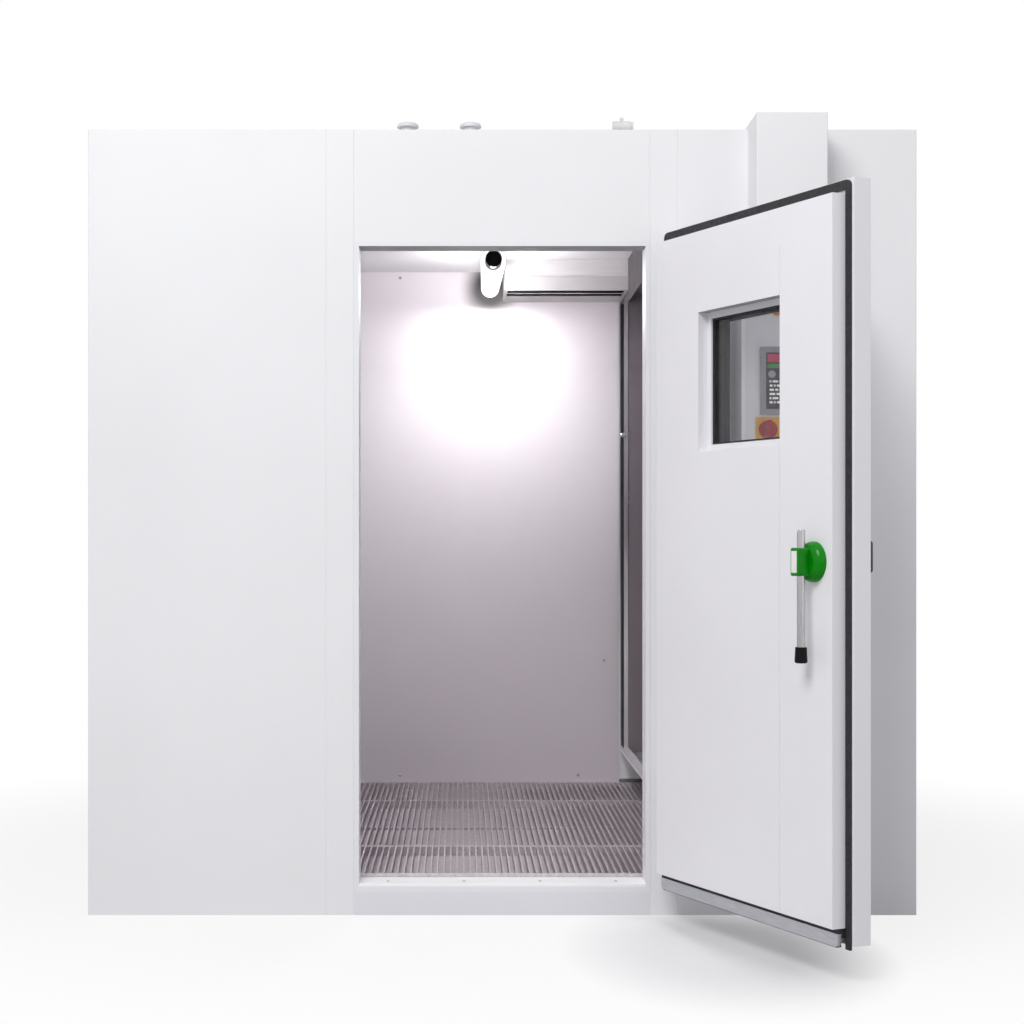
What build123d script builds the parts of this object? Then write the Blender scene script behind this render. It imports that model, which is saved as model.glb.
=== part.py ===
from build123d import *
import math
import os

# A walk-in environmental test chamber of insulated panels, in millimetres. X runs to the right,
# Y runs from the front to the back and Z runs up. The origin is on the floor, under the middle.

# Chamber
width = 2600
depth = 2400
height = 2465
wall = 100
roof_thickness = 100
floor_thickness = 76
roof_lap = 40
seam_chamfer = 2
tongue_width = 30
tongue_depth = 16
joint_gap = 0.5
side_panel_count = 2
rear_panel_count = 3
roof_panel_count = 3

# Doorway
clear_width = 900
clear_top = 2100
frame_face = 15
post_width = 87
sill_height = 71
sill_bar = 17
threshold_thickness = 10
threshold_overhang = 15
threshold_nose = 4

# Floor grates, back lining and lamp
grate_height = 32
grate_bar = 5
grate_bar_spacing = 21
grate_rib_height = 9
grate_rib_width = 14
grate_rib_spacing = 520
grate_border = 12
grate_gap = 3
grate_front = 118
first_joint = 641
second_joint = 1735
grate_column = 1178
lining_thickness = 5
lining_gap = 6
lamp_x = 0
lamp_drop = 78
lamp_front = 1416
lamp_cap_length = 89
lamp_cap_radius = 33
lamp_cap_round = 8
lamp_near_radius = 50
lamp_far_radius = 40
lamp_length = 874
lamp_mount_width = 44
lamp_mount_length = 30
lamp_mount_inset = 110

# Air conditioning unit behind a sheet wall on the right of the test space
unit_width = 623
sheet = 3
base_height = 182
base_thickness = 12
plinth_setback = 145
intake_front = 250
intake_back = 1932
intake_bottom = 303
intake_head = 40
slot_front = 2116
slot_margin = 12
slot_bottom = 272
slot_head = 4
pan_left_gap = 20
pan_width = 200
pan_height = 24
pan_back_reach = 12
coil_thickness = 120
coil_inset = 70
coil_back_reach = 1
coil_end_plate = 4
coil_end_side_gap = 2
coil_top_gap = 150
fin_spacing = 20
fin_gap = 11
fin_depth = 25
bend_count = 5
bend_radius = 25
bend_tube_radius = 8
heater_distance = 250
heater_rod_radius = 6
heater_rod_count = 4
heater_rod_spacing = 90
heater_bottom = 1350
heater_plate_gap = 20
deck_drop = 140
fan_spacing = 1000
fan_first = 700
fan_from_wall = 310
fan_radius = 185
fan_tip_gap = 7
fan_hub_radius = 45
fan_hub_height = 40
fan_blade_count = 5
blade_root_chord = 62
blade_tip_chord = 96
blade_thickness = 5
blade_root_angle = 52
blade_tip_angle = 28
shroud_height = 60
shroud_wall = 3
shroud_flange = 22
motor_radius = 48
motor_height = 80
strut_width = 14
motor_shaft_radius = 8
fit = 0.05

# Ceiling duct and sensor
duct_lamp_gap = 7
duct_depth = 370
duct_height = 133
duct_lip = 61
duct_lip_depth = 6
duct_sheet = 2
duct_slot = 84
duct_slot_gap = 12
sensor_height = 1628
sensor_radius = 9
sensor_length = 24
sensor_behind = 2020
sensor_socket_radius = 16
sensor_socket_length = 8

# Door leaf, given closed and then swung open
plug_side_gap = 7
plug_top_gap = 8
plug_bottom = 150
plug_depth = 47
leaf_lap = 25
leaf_top_lap = 31
leaf_bottom = 106
leaf_thickness = 53
leaf_stand_off = 7
gasket_width = 20
gasket_top_width = 26
gasket_side_inset = 10
gasket_top_inset = 3
gasket_corner = 18
gasket_tail = 11
gasket_clearance = 0.3
sweep_setback = 17
sweep_bar = 12
sweep_bottom = 101
sweep_top = 136
sweep_web_bottom = 112
sweep_web_top = 124
sweep_corner = 8
sweep_clearance = 1
sweep_seal_setback = 2
hinge_x = 501.6
hinge_out = 18.5
open_angle = 115

# Window in the leaf
window_size = 412
window_centre = 1645.5
window_fit = 0.3
reveal_depth = 33
window_frame_face = 19
window_frame_depth = 14
window_seal_face = 6
window_seal_recess = 5
window_bead_proud = 1
window_frame_round = 1
pane_thickness = 6
outer_frame_face = 20
outer_frame_proud = 6

# Leaf hinges
hinge_heights = (350, 1115, 1880)
hinge_length = 120
hinge_barrel_radius = 11
hinge_pin_radius = 5
hinge_plate = 6
hinge_frame_inner = 488
hinge_frame_width = 57
hinge_web = 12
hinge_side_inset = 5
hinge_side_width = 40
knuckle_gap = 1
pin_cap_height = 4
pin_cap_radius = 9

# Latch and lever
spindle_from_edge = 80
spindle_height = 1118
spindle_radius = 8
dome_radius = 55
dome_height = 28
dome_neck_radius = 34
dome_shoulder_radius = 50.5
dome_shoulder_height = 17
hub_gap = 0.3
hub_width = 34
hub_height = 75
hub_depth = 36
hub_corner = 6
lever_radius = 11
lever_from_plug = 42
lever_up = 86
lever_down = 239
tip_length = 43
tip_top_radius = 15.5
tip_bottom_radius = 17.5
tip_overlap = 12
lock_setback = 34
lock_width = 110
lock_height = 85
lock_drop = 29
lock_proud = 35
lock_corner = 8
grip_boss_radius = 19
grip_boss_length = 26
grip_length = 150
grip_width = 24
grip_thickness = 14
bolt_length = 62
bolt_width = 12
bolt_height = 30
bolt_depth = 20
bolt_clearance = 0.3
bolt_throw = 18
strike_clearance = 2

# Control cabinet on the front wall
cabinet_left = 716
cabinet_width = 310
cabinet_depth = 250
cabinet_bottom = 1200
cabinet_height = 800
cabinet_sheet = 3
cabinet_door_thickness = 20
cabinet_door_gap = 2
cabinet_lip = 14
cabinet_corner = 4
column_left = 771
column_width = 216
column_depth = 169
column_above = 14
column_hood = 60
column_corner = 3
bezel_left = 771.2
bezel_width = 206
bezel_bottom = 1551.7
bezel_height = 204
bezel_thickness = 8
bezel_rim = 17
screen_recess = 3
switch_plate_left = 757.7
switch_plate_bottom = 1471
switch_plate_size = 74
switch_plate_thickness = 2
knob_radius = 27
knob_base_height = 12
knob_grip_width = 14
knob_grip_height = 22
knob_shaft_radius = 6
signal_x = 822
signal_z = 1862
signal_radius = 13
signal_height = 14
lock_knob_inset = 24
lock_knob_height = 1300
lock_knob_radius = 12
lock_knob_proud = 9
lock_cam_length = 19
lock_cam_width = 12
cabinet_hinge_out = 6
cabinet_hinge_radius = 5.5
cabinet_strap_length = 55
cabinet_hinge_pin = 3
cabinet_hinge_length = 60
cabinet_hinge_inset = 110
mounting_inset = 30
mounting_stand_off = 18
breaker_count = 12
breaker_width = 17.5
breaker_height = 84
breaker_depth = 66
breaker_rows = (1420, 1700)
rail_width = 35
rail_depth = 7.5

# Roof fittings
vent_places = (-302, -98.5)
vent_behind = 200
vent_cap_radius = 35
vent_cap_height = 14
vent_cap_round = 11
vent_stub_radius = 25
vent_rise = 66
valve_x = 397
valve_behind = 200
valve_length = 66
valve_radius = 17
valve_axis = 56
valve_foot = 34
valve_nub_radius = 6
valve_nub_offset = 5
valve_nub_height = 11
valve_cap_length = 8
valve_cap_radius = 14.5

# Planes that several pieces share
front = -depth / 2
back = depth / 2
inner_front = front + wall
inner_back = back - wall
inner_left = -width / 2 + wall
inner_right = width / 2 - wall
ceiling = height - roof_thickness
half_clear = clear_width / 2
frame_outer = half_clear + frame_face
post_outer = frame_outer + post_width
threshold_top = sill_height + sill_bar + threshold_thickness
grate_top = floor_thickness + grate_height
lining_face = inner_back - lining_thickness
plug_half = half_clear - plug_side_gap
plug_top = clear_top - plug_top_gap
plug_face = front + plug_depth - leaf_stand_off
flange_inner = front - leaf_stand_off
flange_outer = flange_inner - leaf_thickness
flange_half = half_clear + leaf_lap
flange_top = clear_top + leaf_top_lap
hinge_y = front - hinge_out
spindle_x = -plug_half + spindle_from_edge
sweep_face = plug_face - sweep_setback
unit_left = inner_right - unit_width
unit_sheet_right = unit_left + sheet
lining_right = unit_left - lining_gap
lamp_axis = ceiling - lamp_drop
deck_height = ceiling - deck_drop
intake_top = deck_height - intake_head
slot_top = deck_height - slot_head
base_top = floor_thickness + base_height
base_bottom = base_top - base_thickness
plinth_left = unit_left + plinth_setback
pan_left = unit_sheet_right + pan_left_gap
coil_left = pan_left + (pan_width - coil_thickness) / 2
coil_front = front + intake_front + coil_inset
coil_back = front + intake_back + coil_back_reach
coil_bottom = base_top + sheet
coil_top = intake_top - coil_top_gap
duct_left = lamp_x + lamp_near_radius + duct_lamp_gap
fan_x = inner_right - fan_from_wall
shroud_inner = fan_radius + fan_tip_gap
cabinet_right = cabinet_left + cabinet_width
cabinet_top = cabinet_bottom + cabinet_height
cabinet_front = front - cabinet_depth
cabinet_door_back = cabinet_front + cabinet_door_thickness
cabinet_body_front = cabinet_door_back + cabinet_door_gap
cabinet_hinge_x = cabinet_right + cabinet_hinge_out
cabinet_hinge_y = cabinet_front + cabinet_door_thickness / 2

parts = {}


def block(x0, x1, y0, y1, z0, z1):
    """A rectangular solid between two opposite corners."""
    place = Pos((x0 + x1) / 2, (y0 + y1) / 2, (z0 + z1) / 2)
    return place * Box(x1 - x0, y1 - y0, z1 - z0)


def rod_x(x0, x1, y, z, radius):
    """A round bar along X."""
    return Pos((x0 + x1) / 2, y, z) * Rot(0, 90, 0) * Cylinder(radius, x1 - x0)


def rod_y(x, y0, y1, z, radius):
    """A round bar along Y."""
    return Pos(x, (y0 + y1) / 2, z) * Rot(90, 0, 0) * Cylinder(radius, y1 - y0)


def rod_z(x, y, z0, z1, radius):
    """A round bar along Z."""
    return Pos(x, y, (z0 + z1) / 2) * Cylinder(radius, z1 - z0)


def swung_open(shape):
    """The door leaf's pieces are drawn closed, and this turns them about the hinge."""
    about_hinge = Pos(hinge_x, hinge_y, 0) * Rot(0, 0, open_angle) * Pos(-hinge_x, -hinge_y, 0)
    return about_hinge * shape


def upright_edges(shape, group):
    """The upright edges furthest to the front (group 0) or to the back (group -1)."""
    return shape.edges().filter_by(Axis.Z).group_by(Axis.Y)[group]


def roof_seat():
    """The space of the roof's upper half, which laps over the tops of the walls."""
    reach = wall - roof_lap
    return block(-width / 2 + reach, width / 2 - reach, front + reach, back - reach,
                 height - roof_thickness / 2, height)


def facade_panel(x0, x1, z0, z1):
    """One panel of the front wall, with chamfered upright edges where it meets the next."""
    panel = block(x0, x1, front, inner_front, z0, z1)
    panel = chamfer(upright_edges(panel, 0), seam_chamfer)
    return panel - roof_seat()


def panel_run(count, length, z0, z1, thickness):
    """A row of wall panels along X from 0, joined by tongues and grooves."""
    pitch = length / count
    panels = []
    for i in range(count):
        start = i * pitch
        end = start + pitch
        panel = block(start, end, 0, thickness, z0, z1)
        middle = thickness / 2
        half = tongue_width / 2
        if i > 0:
            panel -= block(start, start + tongue_depth, middle - half, middle + half, z0, z1)
        if i < count - 1:
            slim = half - joint_gap
            reach = tongue_depth - joint_gap
            panel += block(end, end + reach, middle - slim, middle + slim, z0, z1)
        panels.append(panel)
    return panels


def build_walls():
    """The floor, the four walls and the roof."""
    parts["floor_panel"] = block(inner_left, inner_right, inner_front, inner_back, 0, floor_thickness)
    parts["front_panels"] = Compound([
        facade_panel(-width / 2, -post_outer, 0, height),
        facade_panel(post_outer, width / 2, 0, height),
    ])
    parts["door_posts"] = Compound([
        facade_panel(-post_outer, -frame_outer, 0, height),
        facade_panel(frame_outer, post_outer, 0, height),
    ])
    parts["lintel_panel"] = facade_panel(-frame_outer, frame_outer, clear_top + frame_face, height)
    parts["sill_panel"] = facade_panel(-frame_outer, frame_outer, 0, sill_height)

    seat = roof_seat()
    side_length = inner_back - inner_front
    side = panel_run(side_panel_count, side_length, 0, height, wall)
    left_place = Pos(inner_left, inner_front, 0) * Rot(0, 0, 90)
    right_place = Pos(inner_right, inner_back, 0) * Rot(0, 0, -90)
    parts["left_wall_panels"] = Compound([left_place * panel - seat for panel in side])
    parts["right_wall_panels"] = Compound([right_place * panel - seat for panel in side])
    rear = panel_run(rear_panel_count, width, 0, height, wall)
    rear_place = Pos(-width / 2, inner_back, 0)
    parts["rear_wall_panels"] = Compound([rear_place * panel - seat for panel in rear])
    parts["roof_panels"] = Compound(roof_panels())


def roof_panels():
    """Roof panels that run from front to back, with stepped edges that lap on the walls."""
    reach = wall - roof_lap
    inner_width = inner_right - inner_left
    pitch = inner_width / roof_panel_count
    step = height - roof_thickness / 2
    panels = []
    for i in range(roof_panel_count):
        x0 = inner_left + i * pitch
        x1 = x0 + pitch
        lower = block(x0, x1, inner_front, inner_back, ceiling, step)
        upper_left = -width / 2 + reach if i == 0 else x0
        upper_right = width / 2 - reach if i == roof_panel_count - 1 else x1
        upper = block(upper_left, upper_right, front + reach, back - reach, step, height)
        panels.append(lower + upper)
    return panels


def strike_pocket():
    """The pocket in the left jamb that the latch bolt is thrown into."""
    y = plug_face - bolt_depth
    half = bolt_width / 2 + strike_clearance
    tall = bolt_height / 2 + strike_clearance
    reach = half_clear - plug_side_gap + bolt_throw + strike_clearance
    return block(-reach, -half_clear, y - half, y + half, spindle_height - tall, spindle_height + tall)


def build_doorway():
    """The frame that lines the doorway, and the steel threshold."""
    outer = block(-frame_outer, frame_outer, front, inner_front, sill_height, clear_top + frame_face)
    hole = block(-half_clear, half_clear, front, inner_front, sill_height + sill_bar, clear_top)
    parts["door_frame"] = outer - hole - strike_pocket()
    plate = block(-half_clear, half_clear, front, inner_front + threshold_overhang,
                  sill_height + sill_bar, threshold_top)
    nose = plate.edges().filter_by(Axis.X).group_by(Axis.Z)[-1].sort_by(Axis.Y)[0]
    parts["threshold_plate"] = fillet(nose, threshold_nose)


def grate(x0, x1, y0, y1):
    """One floor grate: a border, bars from front to back and low ribs across beneath them."""
    plate = block(x0, x1, y0, y1, floor_thickness, grate_top)
    clear_x = x1 - x0 - 2 * grate_border
    count = int((clear_x + grate_bar) / grate_bar_spacing)
    pitch = (clear_x + grate_bar) / count
    slots = []
    for i in range(count):
        start = x0 + grate_border + i * pitch
        slots.append(block(start, start + pitch - grate_bar, y0 + grate_border, y1 - grate_border,
                           floor_thickness + grate_rib_height, grate_top))
    bays = max(1, round((y1 - y0) / grate_rib_spacing))
    bay = (y1 - y0 - 2 * grate_border + grate_rib_width) / bays
    hollows = []
    for i in range(bays):
        start = y0 + grate_border + i * bay
        hollows.append(block(x0 + grate_border, x1 - grate_border, start, start + bay - grate_rib_width,
                             floor_thickness, floor_thickness + grate_rib_height))
    return plate - slots - hollows


def build_floor():
    """Floor grates in three rows and two columns that reach under the unit's base."""
    joints = (grate_front, first_joint, second_joint, lining_face - front)
    middle = unit_left - grate_column
    columns = ((inner_left, middle), (middle, plinth_left))
    grates = []
    half_gap = grate_gap / 2
    for x0, x1 in columns:
        for y0, y1 in zip(joints, joints[1:]):
            grates.append(grate(x0 + half_gap, x1 - half_gap, front + y0 + half_gap, front + y1 - half_gap))
    parts["floor_grates"] = Compound(grates)
    parts["rear_lining"] = block(inner_left, lining_right, lining_face, inner_back, floor_thickness, ceiling)


def build_lamp():
    """The round glass luminaire that runs front to back under the ceiling."""
    start = front + lamp_front + lamp_cap_length
    end = front + lamp_front + lamp_length
    round_end = lamp_far_radius
    with BuildPart() as lens:
        with BuildSketch(Plane.XY) as profile:
            with BuildLine():
                line = Polyline((0, start), (lamp_near_radius, start), (lamp_far_radius, end - round_end))
                arc = CenterArc((0, end - round_end), lamp_far_radius, 0, 90)
                Line(arc @ 1, line @ 0)
            make_face()
        revolve(axis=Axis.Y)
    glass = Pos(lamp_x, 0, lamp_axis) * lens.part
    parts["lamp_lens"] = glass
    cap = rod_y(lamp_x, front + lamp_front, start, lamp_axis, lamp_cap_radius)
    parts["lamp_cap"] = fillet(cap.edges().group_by(Axis.Y)[0], lamp_cap_round)
    mounts = []
    for y in (start + lamp_mount_inset, end - lamp_mount_inset - round_end):
        half = lamp_mount_width / 2
        mount = block(lamp_x - half, lamp_x + half, y - lamp_mount_length / 2, y + lamp_mount_length / 2,
                      lamp_axis + lamp_far_radius / 2, ceiling)
        mounts.append(mount - glass)
    parts["lamp_mounts"] = Compound(mounts)


def build_unit():
    """The air conditioning unit: base on a plinth, sheet wall, drip pan, coil, heater and fan deck."""
    base = block(unit_left, inner_right, inner_front, inner_back, base_bottom, base_top)
    base += block(plinth_left, inner_right, inner_front, inner_back, floor_thickness, base_bottom)
    parts["unit_plinth"] = base
    side = block(unit_left, unit_sheet_right, inner_front, inner_back, base_top, ceiling)
    side -= block(unit_left, unit_sheet_right, front + intake_front, front + intake_back,
                  intake_bottom, intake_top)
    side -= block(unit_left, unit_sheet_right, front + slot_front, inner_back - slot_margin,
                  slot_bottom, slot_top)
    duct_back = lining_face
    side -= block(unit_left, unit_sheet_right, duct_back - duct_depth + duct_sheet, duct_back - duct_sheet,
                  ceiling - duct_height + duct_sheet, ceiling - duct_sheet)
    parts["unit_side_panel"] = side

    pan_back = front + intake_back + pan_back_reach
    pan = block(pan_left, pan_left + pan_width, front + intake_front, pan_back,
                base_top, base_top + pan_height)
    inside = block(pan_left + sheet, pan_left + pan_width - sheet, front + intake_front + sheet,
                   pan_back - sheet, base_top + sheet, base_top + pan_height)
    parts["drip_pan"] = pan - inside
    parts["evaporator_coil"] = evaporator_coil()
    parts["heater_battery"] = heater_battery()

    deck = block(unit_sheet_right, inner_right, inner_front, inner_back, deck_height, deck_height + sheet)
    for i in range(2):
        y = front + fan_first + i * fan_spacing
        deck -= rod_z(fan_x, y, deck_height, deck_height + sheet, shroud_inner + shroud_wall + fit)
    parts["fan_deck"] = deck


def evaporator_coil():
    """A finned coil with return bends in front and an end plate at the back. Its core is solid."""
    right = coil_left + coil_thickness
    coil = block(coil_left, right, coil_front, coil_back, coil_bottom, coil_top)
    count = int((coil_back - coil_front) / fin_spacing)
    pitch = (coil_back - coil_front) / count
    grooves = []
    for i in range(count):
        start = coil_front + i * pitch + (pitch - fin_gap) / 2
        grooves.append(block(coil_left, coil_left + fin_depth, start, start + fin_gap,
                             coil_bottom, coil_top))
    coil -= grooves
    coil += block(unit_sheet_right + coil_end_side_gap, right, coil_back, coil_back + coil_end_plate,
                  base_top + pan_height, coil_top)
    spacing = (coil_top - coil_bottom) / bend_count
    half_ring = Rot(0, 90, 0) * Torus(bend_radius, bend_tube_radius, major_angle=180)
    for i in range(bend_count):
        z = coil_bottom + (i + 0.5) * spacing
        place = Pos((coil_left + right) / 2, coil_front, z) * Rot(180, 0, 0)
        coil += place * Rot(90, 0, 0) * half_ring
    return coil


def heater_battery():
    """Heating rods brazed into two end plates that stand off the unit's sheet wall."""
    x = unit_sheet_right + heater_distance
    front_plate = front + intake_front - heater_plate_gap
    back_plate = front + intake_back + heater_plate_gap
    top = heater_bottom + (heater_rod_count - 1) * heater_rod_spacing
    margin = heater_rod_radius * 3
    battery = None
    for y in (front_plate, back_plate):
        plate = block(unit_sheet_right, x + margin, y - sheet / 2, y + sheet / 2,
                      heater_bottom - margin, top + margin)
        battery = plate if battery is None else battery + plate
    for i in range(heater_rod_count):
        z = heater_bottom + i * heater_rod_spacing
        battery += rod_y(x, front_plate, back_plate, z, heater_rod_radius)
    return battery


def blade_section(distance, chord, angle):
    """A thin section with a sharp tail, set at an angle, at a distance from the shaft."""
    half = blade_thickness / 2
    outline = Polygon((-chord / 2, 0), (-chord / 4, -half), (chord / 2, 0), (-chord / 4, half),
                      align=None)
    return Plane.XZ.offset(-distance) * Rot(0, 0, angle) * outline


def fan_rotor():
    """An axial rotor about Z: a domed hub with twisted blades."""
    hub = Cylinder(fan_hub_radius, fan_hub_height)
    hub = fillet(hub.edges().group_by(Axis.Z)[0], fan_hub_radius / 3)
    hub -= Cylinder(motor_shaft_radius + fit, fan_hub_height)
    root = blade_section(fan_hub_radius - blade_thickness, blade_root_chord, blade_root_angle)
    tip = blade_section(fan_radius, blade_tip_chord, blade_tip_angle)
    blade = loft([root, tip], ruled=True)
    rotor = hub
    for i in range(fan_blade_count):
        rotor += Rot(0, 0, i * 360 / fan_blade_count) * blade
    return rotor


def fan_shroud():
    """A ring with a flange that rests on the fan deck."""
    outer = shroud_inner + shroud_wall
    ring = Cylinder(outer, shroud_height)
    ring = Pos(0, 0, -shroud_height / 2 + shroud_wall) * ring
    ring += Pos(0, 0, shroud_wall / 2) * Cylinder(outer + shroud_flange, shroud_wall)
    return ring - Cylinder(shroud_inner, shroud_height * 3)


def fan_motor():
    """A round motor on three struts that rest on the shroud, with its shaft down through the hub."""
    bottom = shroud_wall - fan_drop()
    motor = Pos(0, 0, bottom + motor_height / 2) * Cylinder(motor_radius, motor_height)
    motor = fillet(motor.edges().group_by(Axis.Z)[-1], motor_radius / 6)
    motor += rod_z(0, 0, -fan_hub_height / 2, bottom, motor_shaft_radius)
    reach = shroud_inner + shroud_wall + shroud_flange / 2
    for i in range(3):
        arm = block(0, reach, -strut_width / 2, strut_width / 2, bottom, bottom + sheet)
        motor += Rot(0, 0, i * 120) * arm
    return motor


def fan_drop():
    """How far the rotor's middle lies below the top of the fan deck."""
    return -shroud_height / 2 + shroud_wall


def build_fans():
    """Two fans that draw air up through the deck."""
    shrouds = []
    motors = []
    for i in range(2):
        y = front + fan_first + i * fan_spacing
        top = deck_height + sheet
        shrouds.append(Pos(fan_x, y, top) * fan_shroud())
        centre = Pos(fan_x, y, top + fan_drop())
        motors.append(centre * fan_motor())
        parts[f"fan_rotor_{i + 1}"] = centre * fan_rotor()
    parts["fan_shrouds"] = Compound(shrouds)
    parts["fan_motors"] = Compound(motors)


def build_duct():
    """The air duct along the back of the ceiling, with two outlet slots beneath."""
    y1 = lining_face
    y0 = y1 - duct_depth
    z0 = ceiling - duct_height
    duct = block(duct_left, unit_left, y0, y1, z0, ceiling)
    duct += block(duct_left, unit_left, y0 - duct_lip_depth, y0, z0, z0 + duct_lip)
    duct -= block(duct_left + duct_sheet, unit_left, y0 + duct_sheet, y1 - duct_sheet,
                  z0 + duct_sheet, ceiling - duct_sheet)
    for i in range(2):
        start = y0 + duct_slot_gap / 2 + i * (duct_slot + duct_slot_gap)
        duct -= block(duct_left + duct_slot_gap, unit_left - duct_slot_gap, start, start + duct_slot,
                      z0, z0 + duct_sheet)
    parts["air_duct"] = duct

    y = front + sensor_behind
    socket = rod_x(unit_left - sensor_socket_length, unit_left, y, sensor_height, sensor_socket_radius)
    probe = rod_x(unit_left - sensor_length, unit_left, y, sensor_height, sensor_radius)
    sensor = socket + probe
    parts["climate_sensor"] = fillet(sensor.edges().group_by(Axis.X)[0], sensor_radius / 2)


def window_block(size, y0, y1):
    """A square block across the window's place."""
    half = size / 2
    return block(-half, half, y0, y1, window_centre - half, window_centre + half)


def build_leaf():
    """The insulated leaf: an outer flange that laps on the wall and a plug that fills the doorway."""
    spindle_hole = rod_y(spindle_x, flange_outer, plug_face, spindle_height, spindle_radius + fit)
    flange = block(-flange_half, flange_half, flange_outer, flange_inner, leaf_bottom, flange_top)
    flange -= window_block(window_size, flange_outer, flange_inner)
    parts["door_flange"] = swung_open(flange - spindle_hole)

    plug = block(-plug_half, plug_half, flange_inner, plug_face, plug_bottom, plug_top)
    plug -= window_block(window_size, flange_inner, plug_face)
    y = plug_face - bolt_depth
    wide = bolt_width / 2 + bolt_clearance
    tall = bolt_height / 2 + bolt_clearance
    plug -= block(-plug_half, -plug_half + bolt_length + bolt_clearance, y - wide, y + wide,
                  spindle_height - tall, spindle_height + tall)
    parts["door_plug"] = swung_open(plug - spindle_hole)
    bolt = block(-plug_half, -plug_half + bolt_length, y - bolt_width / 2, y + bolt_width / 2,
                 spindle_height - bolt_height / 2, spindle_height + bolt_height / 2)
    parts["latch_bolt"] = swung_open(bolt)


def build_gasket():
    """The black gasket along both sides and over the top of the leaf."""
    half = flange_half - gasket_side_inset
    top = flange_top - gasket_top_inset
    bottom = leaf_bottom - gasket_tail
    y0 = flange_inner
    y1 = front - gasket_clearance
    outer = block(-half, half, y0, y1, bottom, top)
    outer = fillet(outer.edges().filter_by(Axis.Y).group_by(Axis.Z)[-1], gasket_corner)
    inner = block(-half + gasket_width, half - gasket_width, y0, y1, bottom, top - gasket_top_width)
    parts["door_gasket"] = swung_open(outer - inner)


def build_sweep():
    """The bottom sweep: an aluminium bar clamped between black rubber strips."""
    bar_back = sweep_face - sweep_bar
    bar = block(-plug_half, plug_half, bar_back, sweep_face, sweep_bottom, sweep_top)
    corners = bar.edges().filter_by(Axis.Y).group_by(Axis.Z)[0]
    bar = chamfer(corners, sweep_corner)
    bar += block(-plug_half, plug_half, flange_inner, bar_back, sweep_web_bottom, sweep_web_top)
    parts["sweep_holder"] = swung_open(bar)

    seal_face = sweep_face - sweep_seal_setback
    upper = block(-plug_half, plug_half, flange_inner, seal_face, sweep_top, plug_bottom)
    upper += block(-plug_half, plug_half, flange_inner, bar_back, sweep_web_top, sweep_top)
    lip_bottom = threshold_top + sweep_clearance
    lip_back = bar_back - sweep_bar / 2
    lip_half = plug_half - sweep_corner
    lower = block(-lip_half, lip_half, lip_back, seal_face, lip_bottom, sweep_bottom)
    lower += block(-lip_half, lip_half, lip_back, bar_back, sweep_bottom, sweep_web_bottom)
    parts["sweep_seals"] = swung_open(Compound([upper, lower]))


def window_ring(outer, inner, y0, y1):
    """A square ring round the window."""
    return window_block(outer, y0, y1) - window_block(inner, y0, y1)


def build_window():
    """Two panes with a spacer between them, held by a frame on each side of the leaf."""
    hole = window_size - 2 * window_fit
    inner_face = plug_face - reveal_depth
    inner_back_face = inner_face - window_frame_depth
    inner_clear = hole - 2 * window_frame_face
    inner_frame = window_ring(hole, inner_clear, inner_back_face, inner_face)
    inner_frame = fillet(inner_frame.edges().filter_by(Axis.Y).group_by(Axis.Y)[-1], window_frame_round)

    outer_size = window_size + 2 * outer_frame_face
    outer_frame = window_ring(outer_size, inner_clear, flange_outer - outer_frame_proud, flange_outer)
    outer_frame += window_ring(hole, inner_clear, flange_outer, flange_outer + window_frame_depth)
    parts["window_frames"] = swung_open(Compound([inner_frame, outer_frame]))

    inner_pane = window_block(hole, inner_back_face - pane_thickness, inner_back_face)
    outer_start = flange_outer + window_frame_depth
    outer_pane = window_block(hole, outer_start, outer_start + pane_thickness)
    parts["window_panes"] = swung_open(Compound([inner_pane, outer_pane]))

    clear = inner_clear - 2 * window_seal_face
    bead = window_ring(inner_clear, clear, inner_back_face, inner_face - window_seal_recess)
    spacer = window_ring(hole, clear, outer_start + pane_thickness, inner_back_face - pane_thickness)
    outer_bead = window_ring(inner_clear, clear, flange_outer - window_bead_proud, outer_start)
    parts["window_seals"] = swung_open(Compound([bead, spacer, outer_bead]))


def build_hinges():
    """Butt hinges between the right door post and the leaf's side."""
    frame_leaves = []
    door_leaves = []
    pins = []
    half = hinge_length / 2
    web_half = hinge_web / 2
    side_outer = flange_half + hinge_plate
    for z in hinge_heights:
        plate = block(hinge_frame_inner, hinge_frame_inner + hinge_frame_width,
                      front - hinge_plate, front, z - half, z + half)
        barrel_top = z - knuckle_gap / 2
        web = block(hinge_x - web_half, hinge_x + web_half, hinge_y, front - hinge_plate,
                    z - half, barrel_top)
        barrel = rod_z(hinge_x, hinge_y, z - half, barrel_top, hinge_barrel_radius)
        bore = rod_z(hinge_x, hinge_y, z - half, z + half, hinge_pin_radius + fit)
        frame_leaves.append(plate + web + barrel - bore)

        barrel_bottom = z + knuckle_gap / 2
        side_front = flange_outer + hinge_side_inset
        side = block(flange_half, side_outer, side_front, side_front + hinge_side_width, z - half, z + half)
        arm = block(side_outer, hinge_x, hinge_y - web_half, hinge_y + web_half, barrel_bottom, z + half)
        knuckle = rod_z(hinge_x, hinge_y, barrel_bottom, z + half, hinge_barrel_radius)
        door_leaves.append(side + arm + knuckle - bore)

        shank = rod_z(hinge_x, hinge_y, z - half, z + half, hinge_pin_radius)
        head = rod_z(hinge_x, hinge_y, z + half, z + half + pin_cap_height, pin_cap_radius)
        foot = rod_z(hinge_x, hinge_y, z - half - pin_cap_height, z - half, pin_cap_radius)
        pins.append(shank + head + foot)
    parts["frame_hinge_leaves"] = Compound(frame_leaves)
    parts["leaf_hinge_leaves"] = swung_open(Compound(door_leaves))
    parts["hinge_pins"] = Compound(pins)


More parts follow.
